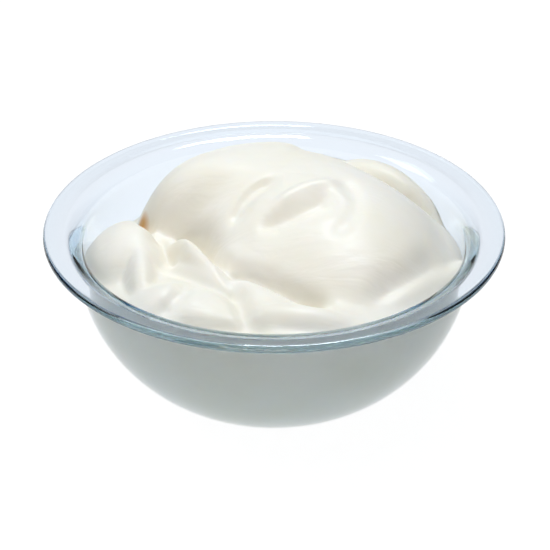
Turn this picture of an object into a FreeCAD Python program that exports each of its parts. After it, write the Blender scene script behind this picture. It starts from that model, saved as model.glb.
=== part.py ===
"""Bowl of frozen yogurt: a clear glass bowl with a wide flat lip, heaped with spooned yogurt.

Two pieces, each a solid of its own in millimetres, +Z up, with the origin at the middle of the
surface that the foot stands on:

    bowl     the glass, one turned section from the recess under the foot round to the flat inside
    yogurt   the filling, which takes the bowl's inside for its skin and a spooned surface for its top

The top of the yogurt is a height over the plan of the bowl. It is the highest of several spoonfuls,
rounded where one meets the next, with creases and ridges added along arcs. Places and reaches of the
spoonfuls are shares of the mouth's radius, so the heap follows the bowl when the bowl changes.
"""
import FreeCAD, Part

import math
import os
from collections import namedtuple

Vector = FreeCAD.Vector

# ---- driving dimensions of the glass (mm) ----
RIM_DIAMETER = 210.0        # over the outer edge of the lip
BOWL_HEIGHT = 78.0          # from the foot to the top of the lip
LIP_WIDTH = 14.5            # from the outside of the wall to the outer edge of the lip
LIP_THICKNESS = 4.0
LIP_UNDER_FILLET = 6.0      # between the wall and the underside of the lip
MOUTH_ROUND = 7.4           # rounding from the lip's top into the inside
MOUTH_DIP = 1.3             # how far the lip's top falls towards the mouth
WALL = 3.5                  # glass thickness at the top of the wall
BASE_THICKNESS = 5.5
BASE_DIAMETER = 81.0        # flat underside, where the wall starts to rise
CORNER_RADIUS = 29.5        # outside, from the base into the wall
FOOT_RING_WIDTH = 6.5       # flat ring between the edge of the base and the recess under it
RECESS_DEPTH = 0.8

# ---- driving dimensions of the filling (mm) ----
HEAP_TOP = 21.5             # summit of the heap above the lip
HEAP_FOOT = -10.0           # where the main heap's side meets what lies round it
GRID_PITCH = 4.0            # spacing of the points that carry the yogurt's top
SPARE = 40.0                # how far cutting tools reach past the shape
LEAST_TURN = 1e-4           # degrees, an arc that turns less than this has no length to speak of

# ---- sizes that follow ----
RECESS_DIAMETER = BASE_DIAMETER - 2 * FOOT_RING_WIDTH
rim_radius = RIM_DIAMETER / 2
wall_radius = rim_radius - LIP_WIDTH
base_radius = BASE_DIAMETER / 2
recess_radius = RECESS_DIAMETER / 2
mouth_radius = wall_radius - WALL
lip_round = LIP_THICKNESS / 2
wall_top = BOWL_HEIGHT - LIP_THICKNESS - LIP_UNDER_FILLET
mouth_top = BOWL_HEIGHT - MOUTH_DIP - MOUTH_ROUND

# Main heap: its middle, and its reach every 30 degrees from +X, as shares of the mouth's radius. A
# fullness of 2 is a round dome, and a greater one is flatter on top and steeper at the side.
HEAP_MIDDLE = (0.057, 0.284)
HEAP_REACH = (0.79, 0.595, 0.49, 0.53, 0.60, 0.71, 0.76, 0.60, 0.72, 1.03, 1.18, 0.99)
HEAP_FULLNESS = (2.2, 2.3, 2.4, 2.9, 3.0, 3.4, 4.8, 3.2, 2.5, 2.4, 3.4, 3.4)

# Level of the yogurt against the glass every 30 degrees from +X, in mm below or above the lip, and
# how much it rises from there towards the middle.
EDGE_LEVEL = (-24.0, -17.0, -10.0, -10.0, -24.0, -27.0, -23.0, -14.0, -7.0, -6.0, -7.0, -11.0)
EDGE_RISE = (6.0, 3.0, 3.0, 4.0, 2.0, 2.0, 8.0, 14.0, 14.0, 13.0, 12.0, 9.0)
EDGE_SLOPE_POWER = 1.6

# A spoonful: middle, half length and half width as shares of the mouth's radius, turn in degrees,
# top and foot above the lip in mm, and how wide the rounding is where it meets the rest, in mm.
Spoonful = namedtuple("Spoonful", "x y length width turn top foot blend")
SPOONFULS = (
    Spoonful(-0.74, -0.05, 0.27, 0.36, 15, 0.5, -20.0, 7.0),
    Spoonful(-0.68, -0.34, 0.34, 0.10, -85, -0.5, -14.0, 5.0),
    Spoonful(-0.395, -0.29, 0.44, 0.085, -62, 2.5, -10.0, 5.0),
    Spoonful(-0.48, -0.68, 0.32, 0.23, -24, 1.0, -14.0, 7.0),
    Spoonful(0.10, -0.84, 0.42, 0.15, -6, 1.0, -14.0, 5.0),
    Spoonful(0.765, -0.47, 0.50, 0.10, 53, -7.0, -14.0, 6.0),
    Spoonful(0.56, 0.64, 0.40, 0.19, -38, 1.5, -16.0, 5.0),
    Spoonful(0.87, 0.10, 0.36, 0.09, -73, -8.5, -24.0, 4.0),
)
SPOONFUL_FULLNESS = 2.2
HEAP_BLEND = 5.0

# A crease or ridge: an arc from one end to the other in shares of the mouth's radius, its bow to the
# left, its height (below 0 cuts a crease) and its width to the left and to the right, in mm.
Fold = namedtuple("Fold", "x0 y0 x1 y1 bow height left right fade")
FOLDS = (
    Fold(-0.385, -0.03, -0.235, -0.42, -1.5, -6.0, 4.0, 4.5, 12.0),
    Fold(-0.235, -0.42, 0.25, -0.75, 1.0, -6.0, 4.0, 6.0, 10.0),
    Fold(-0.225, -0.47, -0.17, -0.70, -1.0, -3.5, 4.5, 4.5, 10.0),
    Fold(-0.57, -0.25, -0.19, -0.68, -3.0, -3.5, 3.5, 4.0, 10.0),
    Fold(-0.18, -0.70, -0.06, -0.98, -2.0, -3.5, 4.5, 4.0, 10.0),
    Fold(-0.64, 0.06, -0.40, -0.06, -3.0, -5.0, 6.0, 5.0, 10.0),
    Fold(-0.45, -0.56, -0.57, -0.80, 3.0, -3.5, 5.0, 4.0, 10.0),
    Fold(-0.46, -0.91, -0.14, -0.94, 1.0, -3.0, 4.0, 4.0, 8.0),
    Fold(-0.70, 0.20, -0.66, 0.04, 0.5, -7.0, 3.5, 3.5, 8.0),
    Fold(-0.20, -0.14, 0.0, 0.075, 4.0, -3.0, 3.0, 5.0, 10.0),
    Fold(-0.05, -0.245, 0.285, -0.095, -2.0, -4.8, 4.8, 8.0, 12.0),
    Fold(0.36, 0.045, 0.31, -0.38, 7.0, -1.5, 4.0, 5.0, 10.0),
    Fold(0.82, -0.30, 0.50, -0.68, 3.0, -3.5, 4.0, 5.0, 14.0),
    Fold(0.20, 0.56, 0.84, 0.33, 3.0, -6.0, 6.0, 6.0, 16.0),
)


def arc_edge(centre, radius, degrees0, degrees1):
    """An arc in the XZ plane about a centre, from one angle to another."""
    def at(degrees):
        turn = math.radians(degrees)
        return centre + Vector(radius * math.cos(turn), 0, radius * math.sin(turn))
    return Part.Arc(at(degrees0), at((degrees0 + degrees1) / 2), at(degrees1)).toShape()


def line_edge(start, end):
    """A straight edge between two points."""
    return Part.LineSegment(start, end).toShape()


def wall_edges(start, end, corner_radius):
    """A wall in section, which leaves the base level and ends upright on two arcs that touch.

    A wall that rises more than it spreads has its corner at the foot and the wider arc above. One
    that spreads more has the wider arc at the foot, and one that does both alike is a single arc.
    """
    out = end.x - start.x
    up = end.z - start.z
    tall = up > out
    wide_radius = (out ** 2 + up ** 2 - 2 * max(out, up) * corner_radius) / (2 * (min(out, up) - corner_radius))
    foot_radius = corner_radius if tall else wide_radius
    top_radius = wide_radius if tall else corner_radius
    foot_centre = start + Vector(0, 0, foot_radius)
    top_centre = end - Vector(top_radius, 0, 0)
    between = foot_centre - top_centre if tall else top_centre - foot_centre
    meeting = math.degrees(math.atan2(between.z, between.x))
    arcs = ((foot_centre, foot_radius, -90, meeting), (top_centre, top_radius, meeting, 0))
    return [arc_edge(*arc) for arc in arcs if arc[3] - arc[2] > LEAST_TURN]


lip_centre = Vector(rim_radius - lip_round, 0, BOWL_HEIGHT - lip_round)
mouth_centre = Vector(mouth_radius + MOUTH_ROUND, 0, mouth_top)


def lip_tilt():
    """Direction, in degrees from +X, of the normal to the line that touches both roundings."""
    across = lip_centre - mouth_centre
    lean = math.degrees(math.atan2(across.z, across.x))
    return lean + math.degrees(math.acos((MOUTH_ROUND - lip_round) / across.Length))


def inside_edges():
    """The inside of the glass, from the middle of its base up to the top of the mouth's rounding."""
    corner = Vector(base_radius, 0, BASE_THICKNESS)
    floor = line_edge(Vector(0, 0, BASE_THICKNESS), corner)
    wall = wall_edges(corner, Vector(mouth_radius, 0, mouth_top), CORNER_RADIUS - BASE_THICKNESS)
    return [floor] + wall + [arc_edge(mouth_centre, MOUTH_ROUND, 180, lip_tilt())]


def end_of(edge):
    """The end of an edge that lies higher."""
    return max((vertex.Point for vertex in edge.Vertexes), key=lambda point: point.z)


def turned(edges):
    """The solid that a closed section in the XZ plane makes when it turns about Z."""
    section = Part.Face(Part.Wire(Part.__sortEdges__(edges)))
    return section.revolve(Vector(0, 0, 0), Vector(0, 0, 1), 360)


def make_bowl():
    """The glass: recess, foot ring, outer wall, lip and inside, turned as one section."""
    base_corner = Vector(base_radius, 0, 0)
    tilt = lip_tilt()
    inside = inside_edges()
    recess_side = Vector(recess_radius, 0, RECESS_DEPTH)
    foot_inner = Vector(recess_radius + RECESS_DEPTH, 0, 0)
    under_centre = Vector(wall_radius + LIP_UNDER_FILLET, 0, wall_top)
    under_end = under_centre + Vector(0, 0, LIP_UNDER_FILLET)
    lip_under = lip_centre - Vector(0, 0, lip_round)
    normal = Vector(math.cos(math.radians(tilt)), 0, math.sin(math.radians(tilt)))
    outside = [
        line_edge(Vector(0, 0, RECESS_DEPTH), recess_side),
        line_edge(recess_side, foot_inner),
        line_edge(foot_inner, base_corner),
        *wall_edges(base_corner, Vector(wall_radius, 0, wall_top), CORNER_RADIUS),
        arc_edge(under_centre, LIP_UNDER_FILLET, 180, 90),
        line_edge(under_end, lip_under),
        arc_edge(lip_centre, lip_round, -90, tilt),
        line_edge(lip_centre + normal * lip_round, mouth_centre + normal * MOUTH_ROUND),
    ]
    axis = line_edge(Vector(0, 0, RECESS_DEPTH), Vector(0, 0, BASE_THICKNESS))
    return turned(outside + inside + [axis])


def eased(share):
    """A share from 0 to 1 that starts and ends level."""
    share = min(max(share, 0.0), 1.0)
    return share * share * (3 - 2 * share)


def higher(one, other, blend):
    """The higher of two heights, rounded where they come within the blend of each other."""
    near = max(1 - abs(one - other) / blend, 0.0)
    return max(one, other) + blend * near ** 3 / 6


def round_about(values, angle):
    """A value given at even steps round a circle, read smoothly at any angle."""
    count = len(values)
    place = (angle / (2 * math.pi) * count) % count
    step = int(place)
    part = place - step
    a, b, c, d = (values[(step + shift) % count] for shift in (-1, 0, 1, 2))
    return b + 0.5 * part * (c - a + part * (2 * a - 5 * b + 4 * c - d + part * (3 * (b - c) + d - a)))


def edge_height(x, y):
    """The yogurt that lies round the heap: its level at the glass, rising towards the middle."""
    angle = math.atan2(y, x)
    share = math.hypot(x, y) / mouth_radius
    return round_about(EDGE_LEVEL, angle) + round_about(EDGE_RISE, angle) * (1 - share ** EDGE_SLOPE_POWER)


def heap_height(x, y):
    """The main heap, whose reach and fullness differ round its middle."""
    dx = x / mouth_radius - HEAP_MIDDLE[0]
    dy = y / mouth_radius - HEAP_MIDDLE[1]
    angle = math.atan2(dy, dx)
    share = math.hypot(dx, dy) / round_about(HEAP_REACH, angle)
    return HEAP_FOOT + (HEAP_TOP - HEAP_FOOT) * (1 - share ** round_about(HEAP_FULLNESS, angle))


def spoonful_height(x, y, spoonful):
    """One spoonful: an oval dome."""
    dx = x / mouth_radius - spoonful.x
    dy = y / mouth_radius - spoonful.y
    turn = math.radians(spoonful.turn)
    along = (dx * math.cos(turn) + dy * math.sin(turn)) / spoonful.length
    across = (dy * math.cos(turn) - dx * math.sin(turn)) / spoonful.width
    share = math.hypot(along, across)
    return spoonful.foot + (spoonful.top - spoonful.foot) * (1 - share ** SPOONFUL_FULLNESS)


def fold_height(x, y, fold):
    """One crease or ridge: a bell-shaped section carried along an arc, faded out at its ends."""
    x0, y0 = fold.x0 * mouth_radius, fold.y0 * mouth_radius
    x1, y1 = fold.x1 * mouth_radius, fold.y1 * mouth_radius
    chord = math.hypot(x1 - x0, y1 - y0)
    ahead = ((x1 - x0) / chord, (y1 - y0) / chord)
    left = (-ahead[1], ahead[0])
    side = math.copysign(1.0, fold.bow)
    radius = (chord ** 2 / 4 + fold.bow ** 2) / (2 * abs(fold.bow))
    dx = x - (x0 + x1) / 2 - left[0] * (fold.bow - side * radius)
    dy = y - (y0 + y1) / 2 - left[1] * (fold.bow - side * radius)
    across = side * (math.hypot(dx, dy) - radius)
    along = radius * math.atan2(dx * ahead[0] + dy * ahead[1], side * (dx * left[0] + dy * left[1]))
    half_length = 2 * radius * math.atan(2 * abs(fold.bow) / chord)
    width = fold.left if across > 0 else fold.right
    fade = eased((half_length + fold.fade / 2 - abs(along)) / fold.fade)
    return fold.height * fade * math.exp(-(across / width) ** 2)


def top_height(x, y):
    """Height of the yogurt's top above the lip at a point of the plan."""
    height = edge_height(x, y)
    for spoonful in SPOONFULS:
        height = higher(height, spoonful_height(x, y, spoonful), spoonful.blend)
    height = higher(height, heap_height(x, y), HEAP_BLEND)
    return height + sum(fold_height(x, y, fold) for fold in FOLDS)


def make_yogurt():
    """The filling: all that the glass holds, cut off above by the spooned surface."""
    inside = inside_edges()
    mouth_end = end_of(inside[-1])
    above = BOWL_HEIGHT + HEAP_TOP + SPARE
    corner = Vector(mouth_end.x, 0, above)
    closing = [
        line_edge(mouth_end, corner),
        line_edge(corner, Vector(0, 0, above)),
        line_edge(Vector(0, 0, above), Vector(0, 0, BASE_THICKNESS)),
    ]
    cavity = turned(inside + closing)
    steps = math.ceil((mouth_end.x + GRID_PITCH) / GRID_PITCH)
    places = [GRID_PITCH * (step + 0.5) for step in range(-steps - 1, steps + 1)]
    grid = [[Vector(x, y, BOWL_HEIGHT + top_height(x, y)) for y in places] for x in places]
    surface = Part.BSplineSurface()
    surface.interpolate(grid)
    air = surface.toShape().extrude(Vector(0, 0, above + SPARE))
    return cavity.cut(air)


def main():
    os.makedirs("parts", exist_ok=True)
    for name, shape in (("bowl", make_bowl()), ("yogurt", make_yogurt())):
        solid = shape.Solids[0]
        solid.exportStep(f"parts/{name}.step")
        box = solid.BoundBox
        print(f"{name}: {len(shape.Solids)} solid, valid {solid.isValid()}, {solid.Volume / 1000:.1f} cm3, "
              f"x {box.XMin:.2f} {box.XMax:.2f}, y {box.YMin:.2f} {box.YMax:.2f}, z {box.ZMin:.2f} {box.ZMax:.2f}")


main()
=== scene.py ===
"""Bowl of frozen yogurt: a clear glass bowl with a wide flat lip, heaped with white spooned yogurt.

Pieces and the camera are sized in millimetres, and a mesh is written in metres. Finishes and lights are in
metres. Every piece rides on the one body, root.
"""

import logging
import math
from dataclasses import dataclass, field
from enum import Enum

import bpy
import numpy as np
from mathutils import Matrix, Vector


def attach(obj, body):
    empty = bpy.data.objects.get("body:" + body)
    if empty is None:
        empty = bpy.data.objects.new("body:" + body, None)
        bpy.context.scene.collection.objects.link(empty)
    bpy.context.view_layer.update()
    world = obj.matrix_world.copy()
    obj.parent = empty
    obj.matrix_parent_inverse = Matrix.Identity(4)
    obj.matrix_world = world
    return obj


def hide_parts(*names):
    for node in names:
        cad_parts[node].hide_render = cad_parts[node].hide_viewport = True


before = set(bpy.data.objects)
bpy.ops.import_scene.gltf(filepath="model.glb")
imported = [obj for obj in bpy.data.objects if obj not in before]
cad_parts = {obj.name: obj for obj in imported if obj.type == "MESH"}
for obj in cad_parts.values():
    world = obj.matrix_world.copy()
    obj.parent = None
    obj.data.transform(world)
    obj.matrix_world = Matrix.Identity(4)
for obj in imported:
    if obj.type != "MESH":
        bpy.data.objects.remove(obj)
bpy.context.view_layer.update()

LOG = logging.getLogger("yogurt_bowl")
METRE = 0.001
BODY = "root"
COLOUR_MIX_FIRST = 6     # a Mix node's sockets for colours share their names with those for numbers
COLOUR_MIX_SECOND = 7
COLOUR_MIX_RESULT = 2


class Slot(Enum):
    """The record's material slots."""

    GLASS = "glass"
    YOGURT = "yogurt"


# --------------------------------------------------------------------------- shader helpers


def fill_ramp(ramp: bpy.types.Node, stops: tuple) -> None:
    """Sets a colour ramp's stops.

    Args:
        ramp: the ramp node.
        stops: pairs of a place from 0 to 1 and a linear colour.
    """
    elements = ramp.color_ramp.elements
    while len(elements) < len(stops):
        elements.new(0.5)
    for element, (place, colour) in zip(elements, stops):
        element.position = place
        element.color = (*colour, 1.0)


@dataclass
class Shader:
    """A new node material with short calls for its nodes and links."""

    name: str
    material: bpy.types.Material = field(init=False)
    tree: bpy.types.NodeTree = field(init=False)
    main: bpy.types.Node = field(init=False)
    output: bpy.types.Node = field(init=False)

    def __post_init__(self) -> None:
        """Makes the material and keeps its tree, its main shader and its output at hand."""
        self.material = bpy.data.materials.new(self.name)
        self.material.use_nodes = True
        self.tree = self.material.node_tree
        self.main = self.tree.nodes["Principled BSDF"]
        self.output = self.tree.nodes["Material Output"]

    def node(self, kind: str, **settings) -> bpy.types.Node:
        """Adds a node.

        Args:
            kind: the node's type name.
            settings: properties set on the node, or inputs where the name starts with "in_".

        Returns:
            The new node.
        """
        made = self.tree.nodes.new(kind)
        for key, value in settings.items():
            if key.startswith("in_"):
                made.inputs[key[3:].replace("_", " ")].default_value = value
            else:
                setattr(made, key, value)
        return made

    def link(self, source: bpy.types.NodeSocket, target: bpy.types.NodeSocket) -> None:
        """Joins an output socket to an input socket."""
        self.tree.links.new(source, target)

    def ramp(self, source: bpy.types.NodeSocket, stops: tuple) -> bpy.types.Node:
        """Adds a colour ramp.

        Args:
            source: the socket that drives it.
            stops: pairs of a place from 0 to 1 and a linear colour.

        Returns:
            The ramp node.
        """
        made = self.node("ShaderNodeValToRGB")
        fill_ramp(made, stops)
        self.link(source, made.inputs["Fac"])
        return made


# --------------------------------------------------------------------------- finishes


@dataclass(frozen=True)
class GlassFinish:
    """Clear pressed glass that turns blue where light crosses much of it."""

    refraction: float = 1.47
    roughness: float = 0.0
    tint: tuple = (0.88, 0.895, 0.945)
    deep_tint: tuple = (0.22, 0.74, 0.94)
    density: float = 24.0

    def make(self) -> bpy.types.Material:
        """Builds the glass.

        Returns:
            A transmissive shader with an absorbing volume.
        """
        shader = Shader("clear_glass")
        inputs = shader.main.inputs
        inputs["Base Color"].default_value = (*self.tint, 1.0)
        inputs["Transmission Weight"].default_value = 1.0
        inputs["IOR"].default_value = self.refraction
        inputs["Roughness"].default_value = self.roughness
        volume = shader.node("ShaderNodeVolumeAbsorption", in_Color=(*self.deep_tint, 1.0),
                             in_Density=self.density)
        shader.link(volume.outputs["Volume"], shader.output.inputs["Volume"])
        return shader.material


@dataclass(frozen=True)
class YogurtFinish:
    """Smooth thick yogurt: creamy white, a little translucent, with a soft moist gloss."""

    cream: tuple = (0.87, 0.82, 0.72)
    warm: tuple = (0.84, 0.785, 0.66)
    warm_below: float = 0.35
    cream_above: float = 0.62
    patch_scale: float = 28.0
    patch_detail: float = 3.0
    refraction: float = 1.36
    roughness: float = 0.42
    translucence: float = 0.2
    soak: float = 0.003
    soak_by_colour: tuple = (1.0, 0.75, 0.45)
    # painted shade: a warm brown laid into the crevice at the heap's foot, darkest within the core and gone
    # past the edge, in metres from its place
    painted_shade_colour: tuple = (0.62, 0.35, 0.12)
    painted_shade_place: tuple = (-0.0635, 0.0215, 0.067)
    painted_shade_core: float = 0.003
    painted_shade_edge: float = 0.0075
    smear_scale: float = 70.0
    smear_detail: float = 3.0
    smear_waver: float = 0.5
    smear_depth: float = 0.0014
    smear_stretch: tuple = (0.45, 1.3, 0.8)
    smear_turn: tuple = (0.0, 0.0, 0.6)
    grain_scale: float = 900.0
    grain_detail: float = 2.0
    grain_depth: float = 0.00004
    relief: float = 0.5

    def colour(self, shader: Shader, place: bpy.types.NodeSocket) -> bpy.types.NodeSocket:
        """Adds the colour: broad patches of two creams, and painted warm shade in the crevice at the heap's
        foot.

        Args:
            shader: the material in hand.
            place: the socket of the piece's own coordinates.

        Returns:
            The socket of the colour.
        """
        patches = shader.node("ShaderNodeTexNoise", in_Scale=self.patch_scale, in_Detail=self.patch_detail)
        shader.link(place, patches.inputs["Vector"])
        stops = ((self.warm_below, self.warm), (self.cream_above, self.cream))
        creams = shader.ramp(patches.outputs["Fac"], stops)
        # painted shade: the crevice at the heap's foot is darkened with brown by the distance from one
        # point
        away = shader.node("ShaderNodeVectorMath", operation="DISTANCE")
        away.inputs[1].default_value = self.painted_shade_place
        shader.link(place, away.inputs[0])
        painted_shade_mask = shader.node("ShaderNodeMapRange", in_From_Min=self.painted_shade_edge, in_From_Max=self.painted_shade_core)
        shader.link(away.outputs["Value"], painted_shade_mask.inputs["Value"])
        with_painted_shade = shader.node("ShaderNodeMix", data_type="RGBA")
        shader.link(painted_shade_mask.outputs["Result"], with_painted_shade.inputs["Factor"])
        shader.link(creams.outputs["Color"], with_painted_shade.inputs[COLOUR_MIX_FIRST])
        with_painted_shade.inputs[COLOUR_MIX_SECOND].default_value = (*self.painted_shade_colour, 1.0)
        return with_painted_shade.outputs[COLOUR_MIX_RESULT]

    def surface(self, shader: Shader, place: bpy.types.NodeSocket) -> bpy.types.NodeSocket:
        """Adds the gloss's unevenness: long faint smears left by the spoon, and a fine grain.

        Args:
            shader: the material in hand.
            place: the socket of the piece's own coordinates.

        Returns:
            The socket of the surface's direction.
        """
        grain = shader.node("ShaderNodeTexNoise", in_Scale=self.grain_scale, in_Detail=self.grain_detail)
        shader.link(place, grain.inputs["Vector"])
        drawn = shader.node("ShaderNodeMapping", in_Scale=self.smear_stretch, in_Rotation=self.smear_turn)
        shader.link(place, drawn.inputs["Vector"])
        smears = shader.node("ShaderNodeTexNoise", in_Scale=self.smear_scale, in_Detail=self.smear_detail,
                             in_Distortion=self.smear_waver)
        shader.link(drawn.outputs["Vector"], smears.inputs["Vector"])
        smeared = shader.node("ShaderNodeBump", in_Distance=self.smear_depth, in_Strength=self.relief)
        shader.link(smears.outputs["Fac"], smeared.inputs["Height"])
        grained = shader.node("ShaderNodeBump", in_Distance=self.grain_depth, in_Strength=self.relief)
        shader.link(grain.outputs["Fac"], grained.inputs["Height"])
        shader.link(smeared.outputs["Normal"], grained.inputs["Normal"])
        return grained.outputs["Normal"]

    def make(self) -> bpy.types.Material:
        """Builds the yogurt.

        Returns:
            A subsurface shader with the patches, the painted shade in the crevice and the smears.
        """
        shader = Shader("creamy_yogurt")
        place = shader.node("ShaderNodeTexCoord").outputs["Object"]
        inputs = shader.main.inputs
        shader.link(self.colour(shader, place), inputs["Base Color"])
        shader.link(self.surface(shader, place), inputs["Normal"])
        inputs["Roughness"].default_value = self.roughness
        inputs["IOR"].default_value = self.refraction
        inputs["Subsurface Weight"].default_value = self.translucence
        inputs["Subsurface Radius"].default_value = self.soak_by_colour
        inputs["Subsurface Scale"].default_value = self.soak
        return shader.material


@dataclass(frozen=True)
class FloorFinish:
    """A matt grey table lit from below, so bright that it reads as white."""

    colour: tuple = (0.12, 0.12, 0.12)
    roughness: float = 0.9
    glow_colour: tuple = (1.0, 1.0, 1.0)
    glow: float = 0.95

    def make(self) -> bpy.types.Material:
        """Builds the glowing matt floor."""
        shader = Shader("pale_floor")
        inputs = shader.main.inputs
        inputs["Base Color"].default_value = (*self.colour, 1.0)
        inputs["Roughness"].default_value = self.roughness
        inputs["Specular IOR Level"].default_value = 0.0
        inputs["Emission Color"].default_value = (*self.glow_colour, 1.0)
        inputs["Emission Strength"].default_value = self.glow
        return shader.material


# --------------------------------------------------------------------------- mesh helpers


def arc(centre: tuple, radius: float, start: float, end: float, count: int) -> np.ndarray:
    """Points of an arc in section: centre plus radius times the cosine and sine of even angles.

    Args:
        centre: radius and height of the arc's centre.
        radius: the arc's radius.
        start: first angle in degrees from outward.
        end: last angle in degrees.
        count: how many points.

    Returns:
        An array of (radius, height) rows.
    """
    angle = np.radians(np.linspace(start, end, count))
    return np.column_stack([centre[0] + radius * np.cos(angle), centre[1] + radius * np.sin(angle)])


def ring_faces(rows: np.ndarray) -> np.ndarray:
    """Quads between rows of points that each close on themselves, facing outwards as the rows go down.

    Args:
        rows: point numbers, one row for each ring.

    Returns:
        An array of four point numbers a face.
    """
    near, far = rows[:-1], rows[1:]
    return np.stack([far, np.roll(far, -1, 1), np.roll(near, -1, 1), near], -1).reshape(-1, 4)


def fan_faces(ring: np.ndarray, pole: int, flip: bool) -> np.ndarray:
    """Triangles from a ring of points to one point in its middle.

    Args:
        ring: the ring's point numbers.
        pole: the middle point's number.
        flip: True turns the faces over.

    Returns:
        An array of three point numbers a face.
    """
    after = np.roll(ring, -1)
    pair = (after, ring) if flip else (ring, after)
    return np.column_stack([pair[0], pair[1], np.full(len(ring), pole)])


def make_piece(name: str, points: np.ndarray, quads: np.ndarray, triangles: np.ndarray) -> bpy.types.Object:
    """Writes arrays into a smooth mesh object at the origin.

    Args:
        name: the piece's name.
        points: places in millimetres.
        quads: four-sided faces.
        triangles: three-sided faces.

    Returns:
        The linked object.
    """
    mesh = bpy.data.meshes.new(name)
    loops = np.concatenate([quads.ravel(), triangles.ravel()]).astype(np.int32)
    sizes = np.concatenate([np.full(len(quads), 4), np.full(len(triangles), 3)]).astype(np.int32)
    starts = np.concatenate([[0], np.cumsum(sizes)[:-1]]).astype(np.int32)
    mesh.vertices.add(len(points))
    mesh.vertices.foreach_set("co", (points * METRE).astype(np.float32).ravel())
    mesh.loops.add(len(loops))
    mesh.loops.foreach_set("vertex_index", loops)
    mesh.polygons.add(len(sizes))
    mesh.polygons.foreach_set("loop_start", starts)
    mesh.polygons.foreach_set("use_smooth", np.ones(len(sizes), dtype=bool))
    mesh.update(calc_edges=True)
    mesh.validate()
    piece = bpy.data.objects.new(name, mesh)
    bpy.context.scene.collection.objects.link(piece)
    return piece


def dress(piece: bpy.types.Object, material: bpy.types.Material, node: str) -> None:
    """Gives a piece its material and body, and puts it in a node's place.

    Args:
        piece: the object.
        material: what it is made of.
        node: the node that it stands for.
    """
    piece.data.materials.append(material)
    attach(piece, BODY)
    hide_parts(node)
    LOG.info("%s: %d faces, in place of %s", piece.name, len(piece.data.polygons), node)


# --------------------------------------------------------------------------- the glass


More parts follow.
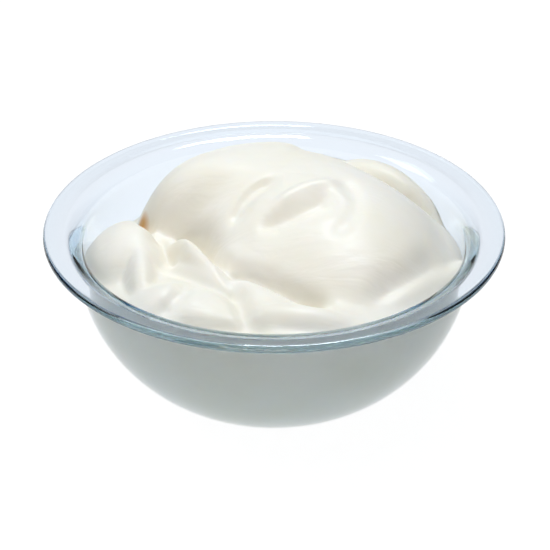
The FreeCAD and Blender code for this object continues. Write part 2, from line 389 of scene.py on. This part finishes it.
@dataclass
class GlassBowl:
    """A turned glass bowl with a foot ring, a curved wall and a wide flat lip."""

    rim_radius: float = 105.0
    height: float = 78.0
    lip_width: float = 14.5
    lip_thickness: float = 4.0
    under_fillet: float = 6.0
    mouth_round: float = 7.4
    mouth_dip: float = 1.3
    wall: float = 3.5
    base_thickness: float = 5.5
    base_radius: float = 40.5
    corner_radius: float = 29.5
    foot_ring_width: float = 6.5
    recess_depth: float = 0.8
    recess_softness: float = 0.3
    recess_bevel: float = 0.1
    floor_ring_share: float = 0.5
    floor_ring_gap: float = 2.0
    corner_points: int = 16
    side_points: int = 28
    round_points: int = 18
    fillet_points: int = 14
    segments: int = 288

    @property
    def mouth_radius(self) -> float:
        """Radius of the inside where the wall ends."""
        return self.rim_radius - self.lip_width - self.wall

    @property
    def mouth_top(self) -> float:
        """Height at which the wall's inside starts to round into the lip."""
        return self.height - self.mouth_dip - self.mouth_round

    @property
    def recess_radius(self) -> float:
        """Radius of the recess under the base, inside the foot ring."""
        return self.base_radius - self.foot_ring_width

    @staticmethod
    def wall_arcs(start: tuple, end: tuple, corner: float) -> tuple:
        """The two arcs of a wall that leaves the base level and ends upright.

        The side's radius is the one at which the wider arc touches the corner's arc and is upright at
        the end: the squared chord less twice the rise times the corner, over twice the spread less it.

        Args:
            start: radius and height where the wall leaves the base.
            end: radius and height of its upright end.
            corner: radius of the corner's arc.

        Returns:
            The corner's centre, the side's centre, the side's radius and the angle where they meet.
        """
        out, up = end[0] - start[0], end[1] - start[1]
        side = (out ** 2 + up ** 2 - 2 * up * corner) / (2 * (out - corner))
        corner_centre = (start[0], start[1] + corner)
        side_centre = (end[0] - side, end[1])
        slope = math.atan2(corner_centre[1] - side_centre[1], corner_centre[0] - side_centre[0])
        return corner_centre, side_centre, side, math.degrees(slope)

    def wall_points(self, start: tuple, end: tuple, corner: float) -> np.ndarray:
        """Points up a wall, along its corner's arc and then its side's.

        Args:
            start: radius and height where the wall leaves the base.
            end: radius and height of its upright end.
            corner: radius of the corner's arc.

        Returns:
            An array of (radius, height) rows.
        """
        corner_centre, side_centre, side, meeting = self.wall_arcs(start, end, corner)
        return np.vstack([arc(corner_centre, corner, -90, meeting, self.corner_points)[:-1],
                          arc(side_centre, side, meeting, 0, self.side_points)])

    def inside_radius(self, height: np.ndarray) -> np.ndarray:
        """Radius of the glass's inside at some heights.

        Each height falls on the corner's arc, the side's arc or the mouth's rounding, and the radius is
        the arc's centre plus or minus the root of its radius squared less the rise squared.

        Args:
            height: heights above the table.

        Returns:
            An array of radii.
        """
        corner = self.corner_radius - self.base_thickness
        start = (self.base_radius, self.base_thickness)
        end = (self.mouth_radius, self.mouth_top)
        low, side_centre, side, meeting = self.wall_arcs(start, end, corner)
        join = low[1] + corner * math.sin(math.radians(meeting))
        on_corner = low[0] + np.sqrt(np.maximum(corner ** 2 - (height - low[1]) ** 2, 0))
        on_side = side_centre[0] + np.sqrt(np.maximum(side ** 2 - (height - side_centre[1]) ** 2, 0))
        rise = np.minimum(height - self.mouth_top, self.mouth_round)
        inward = np.sqrt(np.maximum(self.mouth_round ** 2 - rise ** 2, 0))
        on_mouth = self.mouth_radius + self.mouth_round - inward
        return np.where(height > self.mouth_top, on_mouth, np.where(height > join, on_side, on_corner))

    def section(self) -> np.ndarray:
        """The glass's outline from its floor, over the lip and under the foot ring, to its recess.

        The lip's flat top is the line that touches the mouth's rounding and the bead at the edge. It tilts
        by the lean of the line between their centres plus the arccosine of the difference of their radii
        over the distance between them.

        Returns:
            An array of (radius, height) rows.
        """
        bead = self.lip_thickness / 2
        lip = (self.rim_radius - bead, self.height - bead)
        mouth = (self.mouth_radius + self.mouth_round, self.mouth_top)
        across = math.hypot(lip[0] - mouth[0], lip[1] - mouth[1])
        lean = math.degrees(math.atan2(lip[1] - mouth[1], lip[0] - mouth[0]))
        tilt = lean + math.degrees(math.acos((self.mouth_round - bead) / across))
        wall_radius = self.rim_radius - self.lip_width
        wall_top = self.height - self.lip_thickness - self.under_fillet
        inside = self.wall_points((self.base_radius, self.base_thickness),
                                  (self.mouth_radius, self.mouth_top),
                                  self.corner_radius - self.base_thickness)
        outside = self.wall_points((self.base_radius, 0.0), (wall_radius, wall_top), self.corner_radius)
        under = (wall_radius + self.under_fillet, wall_top)
        floor = np.array([
            (self.base_radius * self.floor_ring_share, self.base_thickness),
            (self.base_radius - self.floor_ring_gap, self.base_thickness),
        ])
        foot = np.array([
            (self.recess_radius + self.recess_depth + self.recess_softness, 0.0),
            (self.recess_radius + self.recess_depth, self.recess_bevel),
            (self.recess_radius + self.recess_softness / 2, self.recess_depth - self.recess_bevel),
            (self.recess_radius - self.recess_softness, self.recess_depth),
        ])
        return np.vstack([
            floor,
            inside,
            arc(mouth, self.mouth_round, 180, tilt, self.round_points)[1:],
            arc(lip, bead, tilt, -90, self.round_points),
            arc(under, self.under_fillet, 90, 180, self.fillet_points),
            outside[::-1][1:],
            foot,
        ])

    def build(self, material: bpy.types.Material) -> bpy.types.Object:
        """Turns the section about the axis: each point goes round at even angles, with its own height.

        Args:
            material: the glass.

        Returns:
            The bowl.
        """
        section = self.section()
        angle = np.linspace(0, 2 * np.pi, self.segments, endpoint=False)
        x = section[:, :1] * np.cos(angle)
        y = section[:, :1] * np.sin(angle)
        z = np.repeat(section[:, 1:], self.segments, axis=1)
        points = np.stack([x, y, z], -1).reshape(-1, 3)
        rows = np.arange(len(points)).reshape(len(section), self.segments)
        poles = np.array([(0, 0, self.base_thickness), (0, 0, self.recess_depth)])
        first, last = len(points), len(points) + 1
        triangles = np.vstack([fan_faces(rows[0], first, False), fan_faces(rows[-1], last, True)])
        piece = make_piece("glass_bowl", np.vstack([points, poles]), ring_faces(rows), triangles)
        dress(piece, material, "bowl")
        return piece


# --------------------------------------------------------------------------- the yogurt


@dataclass(frozen=True)
class Spoonful:
    """An oval dome: middle and half sizes as shares of the mouth, turn in degrees, heights in mm."""

    x: float
    y: float
    length: float
    width: float
    turn: float
    top: float
    foot: float
    blend: float


@dataclass(frozen=True)
class Fold:
    """A ridge or crease along an arc: ends as shares of the mouth, bow, height, widths and fade in mm."""

    x0: float
    y0: float
    x1: float
    y1: float
    bow: float
    height: float
    left: float
    right: float
    fade: float


SPOONFULS = (
    Spoonful(-0.74, -0.05, 0.27, 0.36, 15, 0.5, -20.0, 7.0),
    Spoonful(-0.68, -0.34, 0.34, 0.10, -85, -0.5, -14.0, 5.0),
    Spoonful(-0.395, -0.29, 0.44, 0.085, -62, 2.5, -10.0, 5.0),
    Spoonful(-0.48, -0.68, 0.32, 0.23, -24, 1.0, -14.0, 7.0),
    Spoonful(0.10, -0.84, 0.42, 0.15, -6, 1.0, -14.0, 5.0),
    Spoonful(0.765, -0.47, 0.50, 0.10, 53, -7.0, -14.0, 6.0),
    Spoonful(0.56, 0.64, 0.40, 0.19, -38, 1.5, -16.0, 5.0),
    Spoonful(0.87, 0.10, 0.36, 0.09, -73, -8.5, -24.0, 4.0),
)

FOLDS = (
    Fold(-0.385, -0.03, -0.235, -0.42, -1.5, -6.0, 4.0, 4.5, 12.0),
    Fold(-0.235, -0.42, 0.25, -0.75, 1.0, -6.0, 4.0, 6.0, 10.0),
    Fold(-0.225, -0.47, -0.17, -0.70, -1.0, -3.5, 4.5, 4.5, 10.0),
    Fold(-0.57, -0.25, -0.19, -0.68, -3.0, -3.5, 3.5, 4.0, 10.0),
    Fold(-0.18, -0.70, -0.06, -0.98, -2.0, -3.5, 4.5, 4.0, 10.0),
    Fold(-0.64, 0.06, -0.40, -0.06, -3.0, -5.0, 6.0, 5.0, 10.0),
    Fold(-0.45, -0.56, -0.57, -0.80, 3.0, -3.5, 5.0, 4.0, 10.0),
    Fold(-0.46, -0.91, -0.14, -0.94, 1.0, -3.0, 4.0, 4.0, 8.0),
    Fold(-0.70, 0.20, -0.66, 0.04, 0.5, -7.0, 3.5, 3.5, 8.0),
    Fold(-0.20, -0.14, 0.0, 0.075, 4.0, -3.0, 3.0, 5.0, 10.0),
    Fold(-0.05, -0.245, 0.285, -0.095, -2.0, -4.8, 4.8, 8.0, 12.0),
    Fold(0.36, 0.045, 0.31, -0.38, 7.0, -1.5, 4.0, 5.0, 10.0),
    Fold(0.82, -0.30, 0.50, -0.68, 3.0, -3.5, 4.0, 5.0, 14.0),
    Fold(0.20, 0.56, 0.84, 0.33, 3.0, -6.0, 6.0, 6.0, 16.0),
)

FINE_FOLDS = (
    Fold(-0.64, -0.06, -0.48, -0.24, 1.0, -3.0, 5.0, 5.0, 8.0),
    Fold(-0.36, -0.08, -0.24, -0.41, -1.5, -2.2, 2.2, 3.0, 8.0),
    Fold(-0.235, -0.43, 0.22, -0.735, 1.0, -2.5, 2.0, 3.5, 8.0),
    Fold(0.02, -0.13, 0.31, 0.02, 2.0, 2.0, 3.0, 3.5, 10.0),
)


@dataclass
class YogurtHeap:
    """The filling: the highest of several spoonfuls, with creases, on top of what the glass holds."""

    bowl: GlassBowl
    heap_top: float = 21.5
    heap_foot: float = -10.0
    heap_middle: tuple = (0.057, 0.284)
    heap_reach: tuple = (0.79, 0.595, 0.49, 0.53, 0.60, 0.71, 0.76, 0.60, 0.72, 1.03, 1.18, 0.99)
    heap_fullness: tuple = (2.2, 2.3, 2.4, 2.9, 3.0, 3.4, 4.8, 3.2, 2.5, 2.4, 3.4, 3.4)
    edge_level: tuple = (-24.0, -17.0, -10.0, -10.0, -24.0, -27.0, -23.0, -14.0, -7.0, -6.0, -7.0, -11.0)
    edge_rise: tuple = (6.0, 3.0, 3.0, 4.0, 2.0, 2.0, 8.0, 14.0, 14.0, 13.0, 12.0, 9.0)
    edge_slope_power: float = 1.6
    spoonful_fullness: float = 2.2
    heap_blend: float = 5.0
    into_glass: float = 0.25
    rings: int = 150
    segments: int = 560
    wall_rows: int = 20
    wall_row_power: float = 1.6
    rim_tries: int = 12

    @staticmethod
    def eased(share: np.ndarray) -> np.ndarray:
        """A share from 0 to 1 that starts and ends level: three of its square less two of its cube."""
        share = np.clip(share, 0, 1)
        return share * share * (3 - 2 * share)

    @staticmethod
    def higher(one: np.ndarray, other: np.ndarray, blend: float) -> np.ndarray:
        """The higher of two surfaces, raised by a cubic where they come within the blend.

        Args:
            one: heights of a surface.
            other: heights of another.
            blend: how near they have to be, in height, to run together.

        Returns:
            The joined heights.
        """
        near = np.maximum(1 - np.abs(one - other) / blend, 0)
        return np.maximum(one, other) + blend * near ** 3 / 6

    @staticmethod
    def round_about(values: tuple, angle: np.ndarray) -> np.ndarray:
        """Values given at even steps round a circle, read by a cubic through the four nearest.

        Args:
            values: one value for each step, anticlockwise from straight right as seen from above.
            angle: directions in radians.

        Returns:
            The value in each direction.
        """
        table = np.array(values)
        count = len(table)
        place = (angle / (2 * np.pi) * count) % count
        step = np.floor(place).astype(int)
        part = place - step
        a, b, c, d = (table[(step + shift) % count] for shift in (-1, 0, 1, 2))
        return b + 0.5 * part * (c - a + part * (2 * a - 5 * b + 4 * c - d + part * (3 * (b - c) + d - a)))

    def edge_height(self, x: np.ndarray, y: np.ndarray) -> np.ndarray:
        """What lies round the heap: the level at the glass plus a rise that fades outwards by a power.

        Args:
            x: places across.
            y: places in depth.

        Returns:
            Heights above the lip.
        """
        angle = np.arctan2(y, x)
        share = np.hypot(x, y) / self.bowl.mouth_radius
        rise = self.round_about(self.edge_rise, angle) * (1 - share ** self.edge_slope_power)
        return self.round_about(self.edge_level, angle) + rise

    def heap_height(self, x: np.ndarray, y: np.ndarray) -> np.ndarray:
        """The main heap: full height less a power of the share of its reach in that direction.

        Args:
            x: places across.
            y: places in depth.

        Returns:
            Heights above the lip.
        """
        dx = x / self.bowl.mouth_radius - self.heap_middle[0]
        dy = y / self.bowl.mouth_radius - self.heap_middle[1]
        angle = np.arctan2(dy, dx)
        share = np.hypot(dx, dy) / self.round_about(self.heap_reach, angle)
        fullness = self.round_about(self.heap_fullness, angle)
        return self.heap_foot + (self.heap_top - self.heap_foot) * (1 - share ** fullness)

    def spoonful_height(self, x: np.ndarray, y: np.ndarray, spoonful: Spoonful) -> np.ndarray:
        """One spoonful: an oval dome, full height less a power of the share of its half sizes.

        Args:
            x: places across.
            y: places in depth.
            spoonful: the dome.

        Returns:
            Heights above the lip.
        """
        dx = x / self.bowl.mouth_radius - spoonful.x
        dy = y / self.bowl.mouth_radius - spoonful.y
        turn = math.radians(spoonful.turn)
        along = (dx * math.cos(turn) + dy * math.sin(turn)) / spoonful.length
        across = (dy * math.cos(turn) - dx * math.sin(turn)) / spoonful.width
        share = np.hypot(along, across)
        return spoonful.foot + (spoonful.top - spoonful.foot) * (1 - share ** self.spoonful_fullness)

    def fold_height(self, x: np.ndarray, y: np.ndarray, fold: Fold) -> np.ndarray:
        """One fold: a bell curve of the distance from an arc, faded out past the arc's ends.

        Args:
            x: places across.
            y: places in depth.
            fold: the arc and its section.

        Returns:
            What the fold adds to the height.
        """
        mouth = self.bowl.mouth_radius
        x0, y0, x1, y1 = (mouth * value for value in (fold.x0, fold.y0, fold.x1, fold.y1))
        chord = math.hypot(x1 - x0, y1 - y0)
        ahead = ((x1 - x0) / chord, (y1 - y0) / chord)
        left = (-ahead[1], ahead[0])
        side = math.copysign(1.0, fold.bow)
        radius = (chord ** 2 / 4 + fold.bow ** 2) / (2 * abs(fold.bow))
        dx = x - (x0 + x1) / 2 - left[0] * (fold.bow - side * radius)
        dy = y - (y0 + y1) / 2 - left[1] * (fold.bow - side * radius)
        across = side * (np.hypot(dx, dy) - radius)
        along = radius * np.arctan2(dx * ahead[0] + dy * ahead[1], side * (dx * left[0] + dy * left[1]))
        half_length = 2 * radius * math.atan(2 * abs(fold.bow) / chord)
        width = np.where(across > 0, fold.left, fold.right)
        fade = self.eased((half_length + fold.fade / 2 - np.abs(along)) / fold.fade)
        return fold.height * fade * np.exp(-(across / width) ** 2)

    def top_height(self, x: np.ndarray, y: np.ndarray) -> np.ndarray:
        """Height of the yogurt's top above the lip.

        Args:
            x: places across.
            y: places in depth.

        Returns:
            The joined spoonfuls plus every fold.
        """
        height = self.edge_height(x, y)
        for spoonful in SPOONFULS:
            height = self.higher(height, self.spoonful_height(x, y, spoonful), spoonful.blend)
        height = self.higher(height, self.heap_height(x, y), self.heap_blend)
        for fold in FOLDS + FINE_FOLDS:
            height = height + self.fold_height(x, y, fold)
        return height

    def rim_of_top(self, angle: np.ndarray) -> tuple:
        """Where the top meets the glass, found by trying the inside's radius at the top's height again.

        Args:
            angle: directions round the axis.

        Returns:
            The radius and the height in each direction.
        """
        radius = np.full_like(angle, self.bowl.mouth_radius)
        for _ in range(self.rim_tries):
            height = self.bowl.height + self.top_height(radius * np.cos(angle), radius * np.sin(angle))
            radius = 0.5 * (radius + self.bowl.inside_radius(height) + self.into_glass)
        return radius, self.bowl.height + self.top_height(radius * np.cos(angle), radius * np.sin(angle))

    def build(self, material: bpy.types.Material) -> bpy.types.Object:
        """Makes the closed filling: rings over the top, rows down the glass and a flat underside.

        Args:
            material: the yogurt.

        Returns:
            The filling.
        """
        angle = np.linspace(0, 2 * np.pi, self.segments, endpoint=False)
        rim_radius, rim_height = self.rim_of_top(angle)
        share = (np.arange(1, self.rings + 1) / self.rings)[:, None]
        x = share * rim_radius * np.cos(angle)
        y = share * rim_radius * np.sin(angle)
        z = self.bowl.height + self.top_height(x, y)
        floor = self.bowl.base_thickness - self.into_glass
        down = (1 - np.arange(1, self.wall_rows + 1) / self.wall_rows)[:, None] ** self.wall_row_power
        wall_z = self.bowl.base_thickness + (rim_height - self.bowl.base_thickness) * down
        wall_r = self.bowl.inside_radius(wall_z) + self.into_glass
        wall_z = np.where(down > 0, wall_z, floor)
        points = np.vstack([
            np.stack([x, y, z], -1).reshape(-1, 3),
            np.stack([wall_r * np.cos(angle), wall_r * np.sin(angle), wall_z], -1).reshape(-1, 3),
        ])
        rows = np.arange(len(points)).reshape(self.rings + self.wall_rows, self.segments)
        summit = self.bowl.height + float(self.top_height(np.zeros(1), np.zeros(1))[0])
        poles = np.array([(0, 0, summit), (0, 0, floor)])
        first, last = len(points), len(points) + 1
        triangles = np.vstack([fan_faces(rows[0], first, False), fan_faces(rows[-1], last, True)])
        piece = make_piece("yogurt_filling", np.vstack([points, poles]), ring_faces(rows), triangles)
        dress(piece, material, "yogurt")
        return piece


# --------------------------------------------------------------------------- the studio


@dataclass(frozen=True)
class SoftLight:
    """A square light: its place and side in metres, its power in watts and its linear colour."""

    name: str
    place: tuple
    size: float
    power: float
    colour: tuple


LIGHTS = (
    SoftLight("key", (0.10, 0.36, 1.33), 0.45, 14.0, (0.83, 0.91, 1.0)),
    SoftLight("left", (-1.0, 0.15, 0.9), 0.6, 3.6, (0.83, 0.91, 1.0)),
    SoftLight("fill", (-0.2, -1.3, 0.07), 0.7, 7.6, (1.0, 0.93, 0.87)),
)

SURROUND_STOPS = (
    (0.0, (0.0, 0.025, 0.10)),
    (0.28, (0.0, 0.07, 0.27)),
    (0.38, (0.95, 0.97, 1.0)),
    (1.0, (1.0, 1.0, 1.0)),
)


@dataclass
class Studio:
    """A bright floor, a surround that is dark low down, soft lights and the camera, aimed in degrees."""

    bowl: GlassBowl
    elevation: float = 29.39
    distance: float = 1200.0
    lens: float = 172.66
    aim_drop: float = 1.086
    aim_side: float = -0.022
    sensor_width: float = 36.0
    farthest: float = 20.0
    floor_half: float = 3000.0
    sky: float = 0.37

    def floor(self) -> None:
        """A flat square under the foot."""
        half = self.floor_half
        square = half * np.array([(-1.0, -1.0, 0.0), (1.0, -1.0, 0.0), (1.0, 1.0, 0.0), (-1.0, 1.0, 0.0)])
        floor = make_piece("floor", square, np.array([[0, 1, 2, 3]]), np.zeros((0, 3), dtype=int))
        floor.data.materials.append(FloorFinish().make())

    def world(self) -> None:
        """A near-white sky that turns dark blue low down and below the horizon."""
        world = bpy.data.worlds.new("surround")
        bpy.context.scene.world = world
        world.use_nodes = True
        tree = world.node_tree
        place = tree.nodes.new("ShaderNodeTexCoord")
        split = tree.nodes.new("ShaderNodeSeparateXYZ")
        ramp = tree.nodes.new("ShaderNodeValToRGB")
        back = tree.nodes["Background"]
        tree.links.new(place.outputs["Generated"], split.inputs["Vector"])
        tree.links.new(split.outputs["Z"], ramp.inputs["Fac"])
        tree.links.new(ramp.outputs["Color"], back.inputs["Color"])
        fill_ramp(ramp, SURROUND_STOPS)
        back.inputs["Strength"].default_value = self.sky

    def area(self, light: SoftLight) -> None:
        """Hangs one light so that it points at the middle of the bowl's mouth.

        Args:
            light: which light.
        """
        glow = bpy.data.lights.new(light.name, "AREA")
        glow.size = light.size
        glow.energy = light.power
        glow.color = light.colour
        lamp = bpy.data.objects.new(light.name, glow)
        lamp.location = light.place
        towards = Vector((0, 0, self.bowl.height * METRE)) - Vector(light.place)
        lamp.rotation_euler = towards.to_track_quat("-Z", "Y").to_euler()
        bpy.context.scene.collection.objects.link(lamp)

    def camera(self) -> None:
        """A long lens that looks down at the bowl from the front."""
        camera = bpy.data.cameras.new("camera")
        camera.lens = self.lens
        camera.sensor_width = self.sensor_width
        camera.clip_end = self.farthest
        view = bpy.data.objects.new("camera", camera)
        rise = math.radians(self.elevation)
        away = self.distance * METRE
        view.location = (0, -away * math.cos(rise), self.bowl.height * METRE + away * math.sin(rise))
        view.rotation_euler = (math.pi / 2 - math.radians(self.elevation + self.aim_drop), 0,
                               math.radians(self.aim_side))
        bpy.context.scene.collection.objects.link(view)
        bpy.context.scene.camera = view

    def build(self) -> None:
        """Sets up everything round the bowl."""
        self.floor()
        self.world()
        for light in LIGHTS:
            self.area(light)
        self.camera()
        bpy.context.scene.view_settings.view_transform = "Standard"
        bpy.context.scene.view_settings.look = "None"


def main() -> None:
    """Builds the glass, the yogurt and the studio."""
    logging.basicConfig(level=logging.INFO, format="%(name)s: %(message)s")
    bowl = GlassBowl()
    bowl.build(GlassFinish().make())
    YogurtHeap(bowl).build(YogurtFinish().make())
    Studio(bowl).build()
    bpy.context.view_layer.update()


if __name__ == "__main__":
    main()
